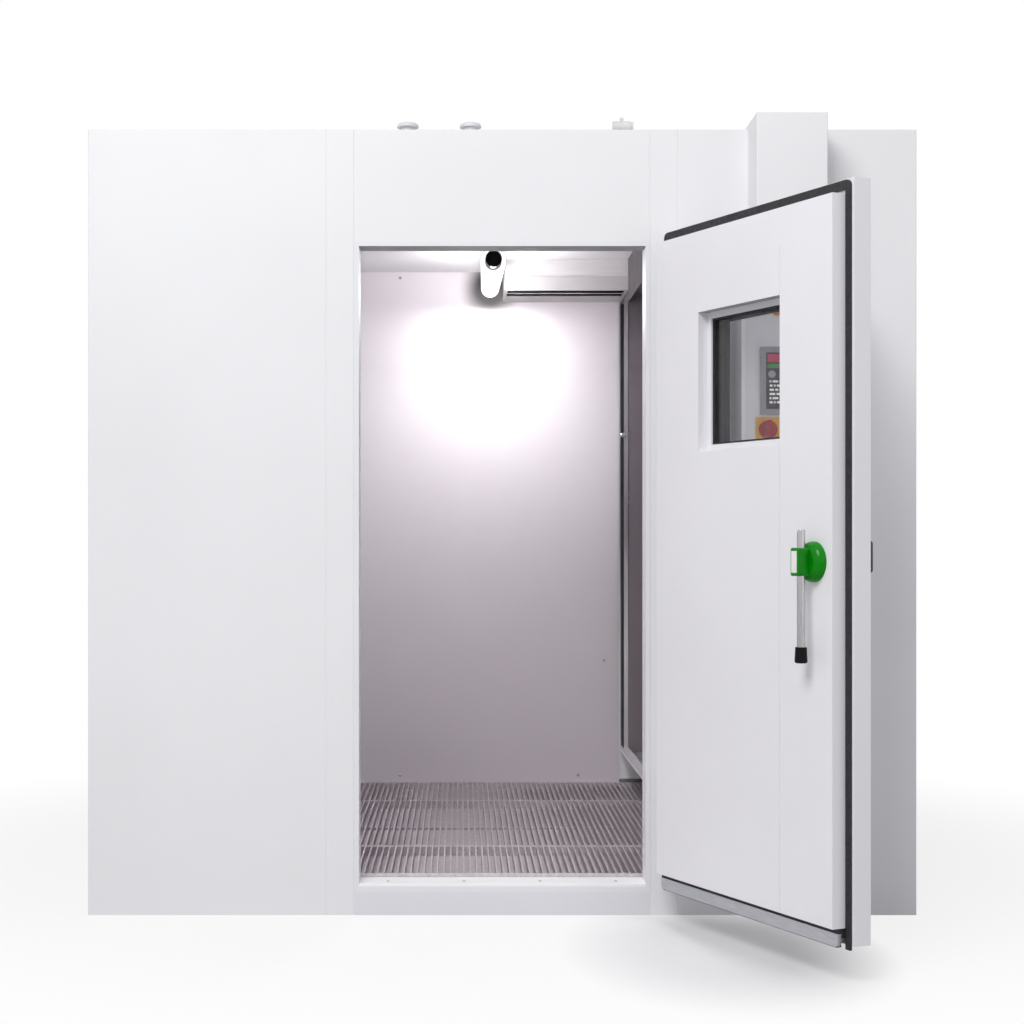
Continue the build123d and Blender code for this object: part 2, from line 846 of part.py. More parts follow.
def lever_dome():
    """The green dome on the inside of the leaf, round at the plug and narrow at the hub."""
    with BuildPart() as dome:
        with BuildSketch(Plane.XZ):
            with BuildLine():
                base = Line((spindle_radius + fit, 0), (dome_radius, 0))
                curve = Spline((dome_radius, 0), (dome_shoulder_radius, dome_shoulder_height),
                               (dome_neck_radius, dome_height),
                               tangents=((0, 1), (-1, 0.35)))
                top = Line(curve @ 1, (spindle_radius + fit, dome_height))
                Line(top @ 1, base @ 0)
            make_face()
        revolve(axis=Axis.Z)
    return Pos(spindle_x, plug_face, spindle_height) * Rot(-90, 0, 0) * dome.part


def build_handle():
    """The inside lever, the spindle through the leaf, the outside lock case and its handle."""
    parts["lever_dome"] = swung_open(lever_dome())
    x = spindle_x
    z = spindle_height
    hub_start = plug_face + dome_height + hub_gap
    hub_end = hub_start + hub_depth
    lever_y = plug_face + lever_from_plug
    hub = block(x - hub_width / 2, x + hub_width / 2, hub_start, hub_end,
                z - hub_height / 2, z + hub_height / 2)
    hub = fillet(hub.edges().filter_by(Axis.Y), hub_corner)
    hub = fillet(hub.edges().group_by(Axis.Y)[-1], hub_corner / 3)
    lever_hole = rod_z(x, lever_y, z - hub_height, z + hub_height, lever_radius + fit)
    spindle_end = lever_y - lever_radius - fit
    socket = rod_y(x, hub_start, spindle_end, z, spindle_radius + fit)
    parts["lever_hub"] = swung_open(hub - lever_hole - socket)

    tube = rod_z(x, lever_y, z - lever_down, z + lever_up, lever_radius)
    tube = fillet(tube.edges().group_by(Axis.Z)[-1], lever_radius / 5)
    parts["lever_tube"] = swung_open(tube)

    tip_top = z - lever_down + tip_overlap
    tip = Pos(x, lever_y, tip_top - tip_length / 2) * Cone(tip_bottom_radius, tip_top_radius, tip_length)
    tip = fillet(tip.edges().group_by(Axis.Z)[0], tip_bottom_radius / 3)
    tip -= rod_z(x, lever_y, z - lever_down, tip_top, lever_radius + fit)
    parts["lever_tip"] = swung_open(tip)

    case_outer = flange_outer - lock_proud
    case_left = -flange_half + lock_setback
    case_bottom = z - lock_drop
    case = block(case_left, case_left + lock_width, case_outer, flange_outer,
                 case_bottom, case_bottom + lock_height)
    case = fillet(case.edges().filter_by(Axis.Y), lock_corner)
    case = fillet(case.edges().group_by(Axis.Y)[0], lock_corner / 3)
    case -= rod_y(x, case_outer, flange_outer, z, spindle_radius + fit)
    parts["lock_case"] = swung_open(case)

    boss_start = case_outer - hub_gap
    boss_end = boss_start - grip_boss_length
    boss = rod_y(x, boss_end, boss_start, z, grip_boss_radius)
    grip = block(x - grip_width / 2, x + grip_width / 2, boss_end, boss_end + grip_thickness,
                 z - grip_length, z)
    grip = fillet(grip.edges().filter_by(Axis.Y).group_by(Axis.Z)[0], grip_width / 3)
    handle = boss + grip
    handle = fillet(handle.edges().group_by(Axis.Y)[0], grip_thickness / 5)
    spindle_start = boss_start - grip_boss_length / 2
    handle -= rod_y(x, spindle_start, boss_start, z, spindle_radius + fit)
    parts["outer_handle"] = swung_open(handle)
    parts["handle_spindle"] = swung_open(rod_y(x, spindle_start, spindle_end, z, spindle_radius))


def build_cabinet():
    """The control cabinet on the front wall, its cable column and what it holds."""
    body = block(cabinet_left, cabinet_right, cabinet_body_front, front, cabinet_bottom, cabinet_top)
    body = fillet(body.edges().filter_by(Axis.Y), cabinet_corner)
    body -= block(cabinet_left + cabinet_sheet, cabinet_right - cabinet_sheet,
                  cabinet_body_front + cabinet_sheet, front - cabinet_sheet,
                  cabinet_bottom + cabinet_sheet, cabinet_top - cabinet_sheet)
    body -= block(cabinet_left + cabinet_lip, cabinet_right - cabinet_lip,
                  cabinet_body_front, cabinet_body_front + cabinet_sheet,
                  cabinet_bottom + cabinet_lip, cabinet_top - cabinet_lip)
    door = block(cabinet_left, cabinet_right, cabinet_front, cabinet_door_back, cabinet_bottom, cabinet_top)
    door = fillet(door.edges().filter_by(Axis.Y), cabinet_corner)

    half = cabinet_hinge_length / 2
    for z in (cabinet_bottom + cabinet_hinge_inset, cabinet_top - cabinet_hinge_inset):
        bore = rod_z(cabinet_hinge_x, cabinet_hinge_y, z, z + half, cabinet_hinge_pin + fit)
        upper = rod_z(cabinet_hinge_x, cabinet_hinge_y, z + joint_gap, z + half, cabinet_hinge_radius)
        tab = block(cabinet_right, cabinet_hinge_x, cabinet_hinge_y - sheet, cabinet_hinge_y + sheet,
                    z + joint_gap, z + half)
        door += upper + tab
        door -= bore
        lower = rod_z(cabinet_hinge_x, cabinet_hinge_y, z - half, z, cabinet_hinge_radius)
        strap = block(cabinet_right, cabinet_right + sheet,
                      cabinet_body_front, cabinet_body_front + cabinet_strap_length, z - half, z)
        arm = block(cabinet_right + joint_gap, cabinet_hinge_x, cabinet_hinge_y, cabinet_body_front + sheet,
                    z - half, z)
        arm_join = block(cabinet_right + joint_gap, cabinet_right + sheet, cabinet_body_front,
                         cabinet_body_front + sheet, z - half, z)
        pin = rod_z(cabinet_hinge_x, cabinet_hinge_y, z, z + half, cabinet_hinge_pin)
        body += strap + arm + arm_join + lower + pin
    lock_x = cabinet_left + lock_knob_inset
    door -= rod_y(lock_x, cabinet_front, cabinet_door_back, lock_knob_height, knob_shaft_radius + fit)
    knob_x = switch_plate_left + switch_plate_size / 2
    knob_z = switch_plate_bottom + switch_plate_size / 2
    shaft_bore = rod_y(knob_x, cabinet_front - switch_plate_thickness, cabinet_door_back, knob_z,
                       knob_shaft_radius + fit)
    parts["cabinet_body"] = body
    parts["cabinet_door"] = door - shaft_bore

    plate = block(switch_plate_left, switch_plate_left + switch_plate_size,
                  cabinet_front - switch_plate_thickness, cabinet_front,
                  switch_plate_bottom, switch_plate_bottom + switch_plate_size)
    parts["switch_plate"] = plate - shaft_bore
    parts["switch_knob"] = switch_knob(knob_x, knob_z)
    parts["cabinet_lock"] = cabinet_lock(lock_x)

    bezel = block(bezel_left, bezel_left + bezel_width, cabinet_front - bezel_thickness, cabinet_front,
                  bezel_bottom, bezel_bottom + bezel_height)
    bezel = fillet(bezel.edges().filter_by(Axis.Y), bezel_thickness / 2)
    screen_y = cabinet_front - bezel_thickness + screen_recess
    screen = block(bezel_left + bezel_rim, bezel_left + bezel_width - bezel_rim, screen_y, cabinet_front,
                   bezel_bottom + bezel_rim, bezel_bottom + bezel_height - bezel_rim)
    window = block(bezel_left + bezel_rim, bezel_left + bezel_width - bezel_rim,
                   cabinet_front - bezel_thickness, cabinet_front,
                   bezel_bottom + bezel_rim, bezel_bottom + bezel_height - bezel_rim)
    parts["controller_bezel"] = bezel - window
    parts["controller_screen"] = screen
    lamp = rod_y(signal_x, cabinet_front - signal_height, cabinet_front, signal_z, signal_radius)
    parts["signal_lamp"] = fillet(lamp.edges().group_by(Axis.Y)[0], signal_radius / 2)

    column = block(column_left, column_left + column_width, front - column_depth, front,
                   cabinet_top, height + column_above)
    column += block(column_left, column_left + column_width, front, front + column_hood,
                    height, height + column_above)
    parts["cable_column"] = fillet(upright_edges(column, 0), column_corner)
    build_cabinet_inside()


def switch_knob(x, z):
    """The red main switch: a round base, a grip bar and a shaft through the cabinet door."""
    base_start = cabinet_front - switch_plate_thickness - joint_gap / 2
    base_end = base_start - knob_base_height
    knob = rod_y(x, base_end, base_start, z, knob_radius)
    grip = block(x - knob_grip_width / 2, x + knob_grip_width / 2, base_end - knob_grip_height, base_end,
                 z - knob_radius, z + knob_radius)
    grip = fillet(grip.edges().group_by(Axis.Y)[0], knob_grip_width / 4)
    shaft = rod_y(x, base_start, cabinet_door_back, z, knob_shaft_radius)
    return knob + grip + shaft


def cabinet_lock(x):
    """A quarter-turn lock: a slotted round head and a cam that turns behind the cabinet's lip."""
    head_start = cabinet_front - joint_gap / 2
    head = rod_y(x, head_start - lock_knob_proud, head_start, lock_knob_height, lock_knob_radius)
    slot_half = knob_grip_width / 8
    head -= block(x - lock_knob_radius, x + lock_knob_radius,
                  head_start - lock_knob_proud, head_start - lock_knob_proud / 2,
                  lock_knob_height - slot_half, lock_knob_height + slot_half)
    cam_start = cabinet_body_front + cabinet_sheet + cabinet_door_gap
    shaft = rod_y(x, head_start, cam_start + cabinet_sheet, lock_knob_height, knob_shaft_radius)
    cam = block(x - lock_cam_width / 2, x + lock_cam_width / 2, cam_start, cam_start + cabinet_sheet,
                lock_knob_height - lock_cam_width / 2, lock_knob_height + lock_cam_length)
    return head + shaft + cam


def build_cabinet_inside():
    """The mounting plate on its studs, two rails and the breakers clipped on them."""
    plate_back = front - cabinet_sheet - mounting_stand_off
    plate_front = plate_back - sheet
    x0 = cabinet_left + mounting_inset
    x1 = cabinet_right - mounting_inset
    plate = block(x0, x1, plate_front, plate_back,
                  cabinet_bottom + mounting_inset, cabinet_top - mounting_inset)
    for x in (x0 + mounting_inset, x1 - mounting_inset):
        for z in (cabinet_bottom + 2 * mounting_inset, cabinet_top - 2 * mounting_inset):
            plate += rod_y(x, plate_back, front - cabinet_sheet, z, knob_shaft_radius)
    row_width = breaker_count * breaker_width
    start = (x0 + x1 - row_width) / 2
    breakers = []
    for z in breaker_rows:
        plate += block(x0, x1, plate_front - rail_depth, plate_front, z - rail_width / 2, z + rail_width / 2)
        rail_front = plate_front - rail_depth
        for i in range(breaker_count):
            x = start + i * breaker_width
            body = block(x, x + breaker_width - joint_gap, rail_front - breaker_depth, rail_front,
                         z - breaker_height / 2, z + breaker_height / 2)
            breakers.append(body)
    parts["mounting_plate"] = plate
    parts["circuit_breakers"] = Compound(breakers)


def build_roof_fittings():
    """Two capped vent stubs and a small valve on the roof, near the front edge."""
    vents = []
    y = front + vent_behind
    top = height + vent_rise
    for x in vent_places:
        stub = rod_z(x, y, height, top - vent_cap_height / 2, vent_stub_radius)
        cap = rod_z(x, y, top - vent_cap_height, top, vent_cap_radius)
        cap = fillet(cap.edges().group_by(Axis.Z)[-1], vent_cap_round)
        vents.append(stub + cap)
    parts["roof_vents"] = Compound(vents)

    y = front + valve_behind
    axis = height + valve_axis
    half = valve_length / 2
    body = rod_x(valve_x - half, valve_x + half - valve_cap_length, y, axis, valve_radius)
    body += rod_x(valve_x + half - valve_cap_length, valve_x + half, y, axis, valve_cap_radius)
    foot_half = valve_foot / 2
    body += block(valve_x - foot_half, valve_x + foot_half, y - foot_half / 2, y + foot_half / 2,
                  height, axis)
    nub_top = axis + valve_radius + valve_nub_height
    body += rod_z(valve_x - valve_nub_offset, y, axis, nub_top, valve_nub_radius)
    parts["roof_valve"] = body


build_walls()
build_doorway()
build_floor()
build_lamp()
build_unit()
build_fans()
build_duct()
build_leaf()
build_gasket()
build_sweep()
build_window()
build_hinges()
build_handle()
build_cabinet()
build_roof_fittings()

os.makedirs("parts", exist_ok=True)
for name, shape in parts.items():
    export_step(shape, f"parts/{name}.step")
print(len(parts), "sub-parts")
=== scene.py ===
import math

import bmesh
import bpy
from mathutils import Matrix, Vector


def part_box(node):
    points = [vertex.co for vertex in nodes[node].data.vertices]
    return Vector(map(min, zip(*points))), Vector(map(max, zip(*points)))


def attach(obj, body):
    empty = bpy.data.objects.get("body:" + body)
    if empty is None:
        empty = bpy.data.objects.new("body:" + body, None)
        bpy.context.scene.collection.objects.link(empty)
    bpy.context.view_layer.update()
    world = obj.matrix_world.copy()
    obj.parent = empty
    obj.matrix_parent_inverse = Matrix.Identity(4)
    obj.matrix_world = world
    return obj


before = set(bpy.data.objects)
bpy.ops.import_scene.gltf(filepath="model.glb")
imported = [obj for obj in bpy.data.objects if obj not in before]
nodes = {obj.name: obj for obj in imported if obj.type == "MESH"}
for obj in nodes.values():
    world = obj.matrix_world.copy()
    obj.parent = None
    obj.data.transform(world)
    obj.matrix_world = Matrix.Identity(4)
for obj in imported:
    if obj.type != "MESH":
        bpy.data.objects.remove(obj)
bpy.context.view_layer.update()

# The photograph's view: a level camera in front of the wall with the door.
PHOTO_WIDTH = 1024
SENSOR = 36.0
FOCAL_PIXELS = 1780.0
CAMERA_PLACE = (-0.1326, -6.786, 1.171)
AXIS_PIXEL = (460.0, 542.0)

# Studio light, and the luminaire's own light on the wall behind it and on the floor
KEY_POWER = 312.0
KEY_PLACE = (-2.0, -6.2, 6.2)
KEY_SIZE = 3.2
FILL_POWER = 20.0
FILL_PLACE = (4.5, -6.0, 2.2)
FILL_SIZE = 3.0
SKY_STRENGTH = 0.44
GLOW_POWER = 8.0
GLOW_RADIUS = 0.05
GLOW_FROM_WALL = 0.57
GLOW_BELOW = 0.06
DOWN_POWER = 17.0
DOWN_SIZE = (0.1, 1.2)
DOWN_BELOW = 0.02
LIT_WALL = (0, -1.2, 1.2)
LIT_CABINET = (0.6, -1.2, 1.2)

# Painted shadow: a dark ring round the luminaire's end on the back lining
LAMP_SHADE_RING_FROM = 0.05
LAMP_SHADE_RING_BY = 0.15
LAMP_SHADE_RING_DEPTH = 0.08

# How bright some faces are beside the rest of their piece: painted shade on faces that look down, on the
# leaf's free edge and on the duct near the luminaire, painted light on the lining towards the top, and a
# duller lower lip on the duct
DOWNWARD = (0, 0, -1)
FRAME_UNDERSIDE_SHADE = 0.5
LEAF_UNDERSIDE_SHADE = 0.42
LEAF_EDGE_SHADE = 0.93
LEAF_SHADED_EDGE_NORMAL = (0.4226, -0.9063, 0)
DUCT_LIP = 0.8
DUCT_LIP_TOP = (0.06, 0.0615)
DUCT_SHADE_NEAR_LAMP = 0.46
DUCT_SHADE_FADE = 0.6
LINING_PAINTED_GLOW = 1.38
LINING_PAINTED_GLOW_FROM = -0.4
LINING_PAINTED_GLOW_BY = 0.05

# Heights and depths where the painted shade on the unit's sheet wall gives way to pale paint, at its foot
# and as a painted highlight up the narrow post at the back
UNIT_FOOT = (0.3, 0.306)
UNIT_POST_HEIGHT = (0.7, 1.2)
UNIT_POST_DEPTH = (0.73, 0.734)
UNIT_POST_HIGHLIGHT = 0.8

# Paint on sheet
CLOUD_SCALE = 1.6
CLOUD_DARK = 0.975
CLOUD_LIGHT = 1.015
PEEL_SCALE = 420.0
PEEL = 0.00012

# White studio floor: near the open door, and faintly round the box, it shows its own grey, lifted a
# little, with the real shadow on it; that grey patch stays where no door stands, so it is partly a painted
# shadow
FLOOR_REACH = 25.0
FLOOR_LIFT = 0.14
SHADOW_CENTRE = (0.62, -1.66, 0)
SHADOW_SPREAD = (1.9, 1.3, 1)
SHADOW_FROM = 0.35
SHADOW_BY = 1.15
FAINT_SHADOW = 0.22
WHITE_FROM = 1.5
WHITE_BY = 3.2

# Small pieces; a place on the leaf is given with the door closed
HINGE = Vector((0.5016, -1.2185, 0))
SWING = Matrix.Rotation(math.radians(115), 4, "Z")
OPENED = Matrix.Translation(HINGE) @ SWING @ Matrix.Translation(-HINGE)
LINING_SCREW = 0.0065
SMALL_SCREW = 0.005
LINING_SCREW_COLUMNS = (-1.186, -0.398, 0.39)
LINING_SCREW_ROWS = (0.139, 2.34)
LINING_SIDE_SCREW = (0.505, 0.649)
THRESHOLD_SCREW_COLUMNS = (-0.36, -0.12, 0.12, 0.36)
THRESHOLD_SCREW_INSET = 0.045
HINGE_HEIGHTS = (0.35, 1.115, 1.88)
HINGE_SCREW_STEPS = (-0.042, 0, 0.042)
HINGE_SCREW_INSET = 0.014
HINGE_PLATE_FACE = -1.206
LEAF_SIDE_FACE = 0.481
LEAF_SCREW_Y = -1.238
LABEL_CENTRE = (-0.363, -1.0957, 1.118)
LABEL_WIDTH = 0.024
LABEL_HEIGHT = 0.058
LABEL_PROUD = 0.0012
SEAM_X = -0.206
SEAM_FACE = -1.16
SEAM_WIDTH = 0.0016
SEAM_PROUD = 0.0004
SEAM_SPANS = ((0.152, 1.437), (1.854, 1.992))
DISPLAY_PROUD = 0.0005
DISPLAY_MARGIN = 0.005
DISPLAY_BANDS = (("display_alarm_band", "display_red", 0.0, 0.024),
                 ("display_ready_band", "display_green", 0.03, 0.042))
MARK_RADIUS = 0.011
MARK_PLACE = (0.013, 0.06)
ROW_COUNT = 6
ROW_START = (0.006, 0.082)
ROW_SPACING = 0.0125
ROW_HALF_HEIGHT = 0.0032
BAR_COUNT = 9
BAR_SHORTEST = 0.005
BAR_STEP = 0.004
VANE_STARTS = (0.745, 0.841)
VANE_COUNT = 6
VANE_SPACING = 0.0115
VANE_INSET = 0.014
VANE_THICKNESS = 0.0015
VANE_LIFT = 0.003
VANE_HEIGHT = 0.014
BLANK_THICKNESS = 0.0015
SEAL_PROUD = 0.002
SEAL_HEIGHT = 0.015
SEAL_REACH = 0.1445
SEAL_EDGE = 0.002
LINER_THICKNESS = 0.002
SMALL_GAP = 0.0005
CABINET_FACE = -1.45
EDGE_WIDTH = 0.011
EDGE_PROUD = 0.0008
EDGE_INSET = 0.003


class Graph:
    """A short way to write a node material."""

    def __init__(self, name):
        self.material = bpy.data.materials.new(name)
        self.material.use_nodes = True
        self.tree = self.material.node_tree
        self.tree.nodes.clear()
        self.output = self.add("ShaderNodeOutputMaterial")
        self.shader = self.add("ShaderNodeBsdfPrincipled")
        self.link(self.shader.outputs[0], self.output.inputs["Surface"])
        self.coords = self.add("ShaderNodeTexCoord").outputs["Object"]

    def add(self, kind, **settings):
        node = self.tree.nodes.new(kind)
        for key, value in settings.items():
            setattr(node, key, value)
        return node

    def link(self, out, into):
        self.tree.links.new(out, into)

    def set(self, **values):
        for key, value in values.items():
            self.shader.inputs[key.replace("_", " ")].default_value = value

    def noise(self, scale, detail=2.0, stretch=(1, 1, 1)):
        mapping = self.add("ShaderNodeMapping")
        mapping.inputs["Scale"].default_value = stretch
        self.link(self.coords, mapping.inputs["Vector"])
        noise = self.add("ShaderNodeTexNoise")
        noise.inputs["Scale"].default_value = scale
        noise.inputs["Detail"].default_value = detail
        self.link(mapping.outputs[0], noise.inputs["Vector"])
        return noise.outputs["Fac"]

    def span(self, value, low, high, start=0.3, end=0.7):
        """Maps a value from start and end, by default a noise's usual range, onto low to high."""
        node = self.add("ShaderNodeMapRange")
        node.inputs["From Min"].default_value = start
        node.inputs["From Max"].default_value = end
        node.inputs["To Min"].default_value = low
        node.inputs["To Max"].default_value = high
        self.link(value, node.inputs["Value"])
        return node.outputs[0]

    def fade(self, centre, spread, start, end, low, high):
        """Goes from low to high with the distance from a centre, the axes weighed by spread."""
        offset = self.add("ShaderNodeVectorMath", operation="SUBTRACT")
        offset.inputs[1].default_value = centre
        self.link(self.coords, offset.inputs[0])
        weighed = self.add("ShaderNodeVectorMath", operation="MULTIPLY")
        weighed.inputs[1].default_value = spread
        self.link(offset.outputs[0], weighed.inputs[0])
        length = self.add("ShaderNodeVectorMath", operation="LENGTH")
        self.link(weighed.outputs[0], length.inputs[0])
        ramp = self.add("ShaderNodeMapRange", interpolation_type="SMOOTHSTEP")
        ramp.inputs["From Min"].default_value = start
        ramp.inputs["From Max"].default_value = end
        ramp.inputs["To Min"].default_value = low
        ramp.inputs["To Max"].default_value = high
        self.link(length.outputs["Value"], ramp.inputs["Value"])
        return ramp.outputs[0]

    def scaled(self, factor, colour_out):
        """A colour times a factor."""
        node = self.add("ShaderNodeMix", data_type="RGBA", blend_type="MULTIPLY")
        node.inputs["Factor"].default_value = 1.0
        self.link(colour_out, node.inputs["A"])
        self.link(factor, node.inputs["B"])
        return node.outputs["Result"]

    def mix(self, factor, dark, light):
        node = self.add("ShaderNodeMix", data_type="RGBA")
        node.inputs["A"].default_value = (*dark, 1)
        node.inputs["B"].default_value = (*light, 1)
        self.link(factor, node.inputs["Factor"])
        return node.outputs["Result"]

    def colour(self, factor, dark, light):
        self.base(self.mix(factor, dark, light))

    def base(self, colour_out):
        self.link(colour_out, self.shader.inputs["Base Color"])

    def place(self):
        """The coordinates, taken apart."""
        node = self.add("ShaderNodeSeparateXYZ")
        self.link(self.coords, node.inputs[0])
        return node.outputs

    def facing(self, direction):
        """How far a face looks in a direction: 1 is straight at it."""
        node = self.add("ShaderNodeVectorMath", operation="DOT_PRODUCT")
        node.inputs[1].default_value = direction
        self.link(self.add("ShaderNodeTexCoord").outputs["Normal"], node.inputs[0])
        return node.outputs["Value"]

    def sheet_colour(self, colour):
        """The faint clouding of paint on sheet."""
        clouds = self.span(self.noise(CLOUD_SCALE, 3.0), 0, 1)
        return self.mix(clouds, shade(colour, CLOUD_DARK), shade(colour, CLOUD_LIGHT))

    def sheet_surface(self, low, high, peel=PEEL):
        """The roughness and slight orange peel of paint on sheet."""
        self.roughness(self.noise(7.0, 3.0), low, high)
        self.bump(self.noise(PEEL_SCALE, 1.0), peel, 0.35)

    def roughness(self, value, low, high):
        self.link(self.span(value, low, high), self.shader.inputs["Roughness"])

    def bump(self, height, distance, strength=1.0):
        node = self.add("ShaderNodeBump")
        node.inputs["Distance"].default_value = distance
        node.inputs["Strength"].default_value = strength
        self.link(height, node.inputs["Height"])
        self.link(node.outputs[0], self.shader.inputs["Normal"])


def shade(colour, factor):
    return tuple(min(1.0, channel * factor) for channel in colour)


def paint(name, colour, low, high, peel=PEEL):
    """Factory paint on sheet."""
    graph = Graph(name)
    graph.base(graph.sheet_colour(colour))
    graph.sheet_surface(low, high, peel)
    return graph.material


def lining_paint(name, colour):
    """The back lining: painted light makes it brighter towards the top, and a painted shadow makes a dark
    ring round the luminaire's end.
    """
    graph = Graph(name)
    low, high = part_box("lamp_lens")
    end = ((low.x + high.x) / 2, high.y, (low.z + high.z) / 2)
    # painted shadow: a dark ring round the luminaire's end
    ring = graph.fade(end, (1, 0, 1), LAMP_SHADE_RING_FROM, LAMP_SHADE_RING_BY, LAMP_SHADE_RING_DEPTH, 1.0)
    # painted light: brighter towards the top, near the luminaire's height
    top = graph.span(graph.place()["Z"], 1.0, LINING_PAINTED_GLOW,
                     high.z + LINING_PAINTED_GLOW_FROM, high.z + LINING_PAINTED_GLOW_BY)
    graph.base(graph.scaled(ring, graph.scaled(top, graph.sheet_colour(colour))))
    graph.sheet_surface(0.4, 0.5)
    return graph.material


def frame_paint(name, colour):
    """The paint of the frames, with painted shade on the faces that look down."""
    graph = Graph(name)
    # painted shade on the faces that look down
    under = graph.span(graph.facing(DOWNWARD), 1.0, FRAME_UNDERSIDE_SHADE, 0.3, 0.9)
    graph.base(graph.scaled(under, graph.sheet_colour(colour)))
    graph.sheet_surface(0.45, 0.55)
    return graph.material


def leaf_paint(name, colour):
    """The leaf's paint, with painted shade on its free edge and on the faces that look down."""
    graph = Graph(name)
    # painted shade on the free edge
    edge = graph.span(graph.facing(LEAF_SHADED_EDGE_NORMAL), 1.0, LEAF_EDGE_SHADE, 0.7, 0.95)
    # painted shade on the faces that look down
    under = graph.span(graph.facing(DOWNWARD), 1.0, LEAF_UNDERSIDE_SHADE, 0.7, 0.95)
    graph.base(graph.scaled(under, graph.scaled(edge, graph.sheet_colour(colour))))
    graph.sheet_surface(0.4, 0.5)
    return graph.material


def duct_paint(name, colour):
    """The duct's faintly brushed paint, with painted shade near the luminaire, and duller on its lower
    lip.
    """
    graph = Graph(name)
    place = graph.place()
    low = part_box("air_duct")[0]
    lip = graph.span(place["Z"], DUCT_LIP, 1.0, *(low.z + step for step in DUCT_LIP_TOP))
    # painted shade near the luminaire
    along = graph.span(place["X"], DUCT_SHADE_NEAR_LAMP, 1.0, low.x, low.x + DUCT_SHADE_FADE)
    lines = graph.noise(500.0, 2.0, (0.02, 1, 1))
    streaks = graph.mix(graph.span(lines, 0, 1), shade(colour, 0.95), shade(colour, 1.04))
    graph.base(graph.scaled(along, graph.scaled(lip, streaks)))
    graph.roughness(graph.noise(7.0, 3.0), 0.35, 0.45)
    graph.bump(lines, 0.00006, 0.3)
    return graph.material


def unit_shade_paint(name, dark, pale):
    """The unit's sheet wall: dark paint as painted shade, pale at its foot, and pale up the narrow post at
    the back as a painted highlight.
    """
    graph = Graph(name)
    place = graph.place()
    # pale at the foot; above it the dark paint is painted shade
    foot = graph.span(place["Z"], 1.0, 0.0, *UNIT_FOOT)
    # painted highlight up the narrow post at the back
    post = graph.span(place["Z"], UNIT_POST_HIGHLIGHT, 0.0, *UNIT_POST_HEIGHT)
    behind = graph.span(place["Y"], 0.0, 1.0, *UNIT_POST_DEPTH)
    low_post = graph.add("ShaderNodeMath", operation="MULTIPLY")
    graph.link(post, low_post.inputs[0])
    graph.link(behind, low_post.inputs[1])
    both = graph.add("ShaderNodeMath", operation="MAXIMUM")
    graph.link(foot, both.inputs[0])
    graph.link(low_post.outputs[0], both.inputs[1])
    graph.colour(both.outputs[0], dark, pale)
    graph.sheet_surface(0.4, 0.5)
    graph.set(Specular_IOR_Level=0.02)
    return graph.material


def brushed(name, colour, low, high, stretch, grain=900.0):
    """Brushed metal: fine lines along one axis, with a little wear."""
    graph = Graph(name)
    lines = graph.noise(grain, 2.0, stretch)
    graph.colour(graph.span(lines, 0, 1), shade(colour, 0.86), shade(colour, 1.1))
    graph.roughness(graph.noise(9.0, 4.0), low, high)
    graph.bump(lines, 0.00008, 0.4)
    graph.set(Metallic=1.0)
    return graph.material


def plastic(name, colour, low, high, grain=1400.0, depth=0.00006, shine=0.3):
    """Moulded plastic: a fine grain and faint clouding."""
    graph = Graph(name)
    graph.set(Specular_IOR_Level=shine)
    clouds = graph.noise(22.0, 3.0)
    graph.colour(graph.span(clouds, 0, 1), shade(colour, 0.9), shade(colour, 1.08))
    graph.roughness(graph.noise(60.0, 3.0), low, high)
    graph.bump(graph.noise(grain, 1.0), depth, 0.4)
    return graph.material


def rubber(name, colour):
    """Matt rubber with dusty patches."""
    graph = Graph(name)
    graph.colour(graph.span(graph.noise(35.0, 4.0), 0, 1), shade(colour, 0.7), shade(colour, 1.5))
    graph.roughness(graph.noise(80.0, 2.0), 0.5, 0.72)
    graph.bump(graph.noise(700.0, 3.0), 0.0002, 0.5)
    return graph.material


def galvanised(name, dark, light):
    """Zinc: pale and dark grains of a few millimetres."""
    graph = Graph(name)
    grains = graph.add("ShaderNodeTexVoronoi")
    grains.inputs["Scale"].default_value = 120.0
    graph.link(graph.coords, grains.inputs["Vector"])
    value = graph.add("ShaderNodeSeparateColor")
    graph.link(grains.outputs["Color"], value.inputs[0])
    graph.colour(value.outputs[0], dark, light)
    graph.roughness(graph.noise(40.0, 3.0), 0.32, 0.5)
    graph.bump(graph.noise(600.0, 2.0), 0.0001, 0.4)
    graph.set(Metallic=0.85)
    return graph.material


def clear_glass(name, tint):
    """Clear glass with a faint tint and slightly uneven polish."""
    graph = Graph(name)
    graph.colour(graph.span(graph.noise(4.0, 2.0), 0, 1), tint, shade(tint, 1.04))
    graph.roughness(graph.noise(14.0, 4.0), 0.0, 0.03)
    graph.set(Transmission_Weight=1.0, IOR=1.35)
    return graph.material


def lit_glass(name, colour, strength):
    """Opal glass lit from within, with faint clouding."""
    graph = Graph(name)
    graph.colour(graph.span(graph.noise(30.0, 2.0), 0, 1), shade(colour, 0.94), colour)
    graph.roughness(graph.noise(50.0, 2.0), 0.2, 0.35)
    graph.link(graph.mix(graph.span(graph.noise(12.0, 1.0), 0, 1), shade(colour, 0.9), colour),
               graph.shader.inputs["Emission Color"])
    graph.set(Emission_Strength=strength, Specular_IOR_Level=0.15)
    return graph.material


WHITE = (0.86, 0.858, 0.872)
STEEL = (0.6, 0.59, 0.61)

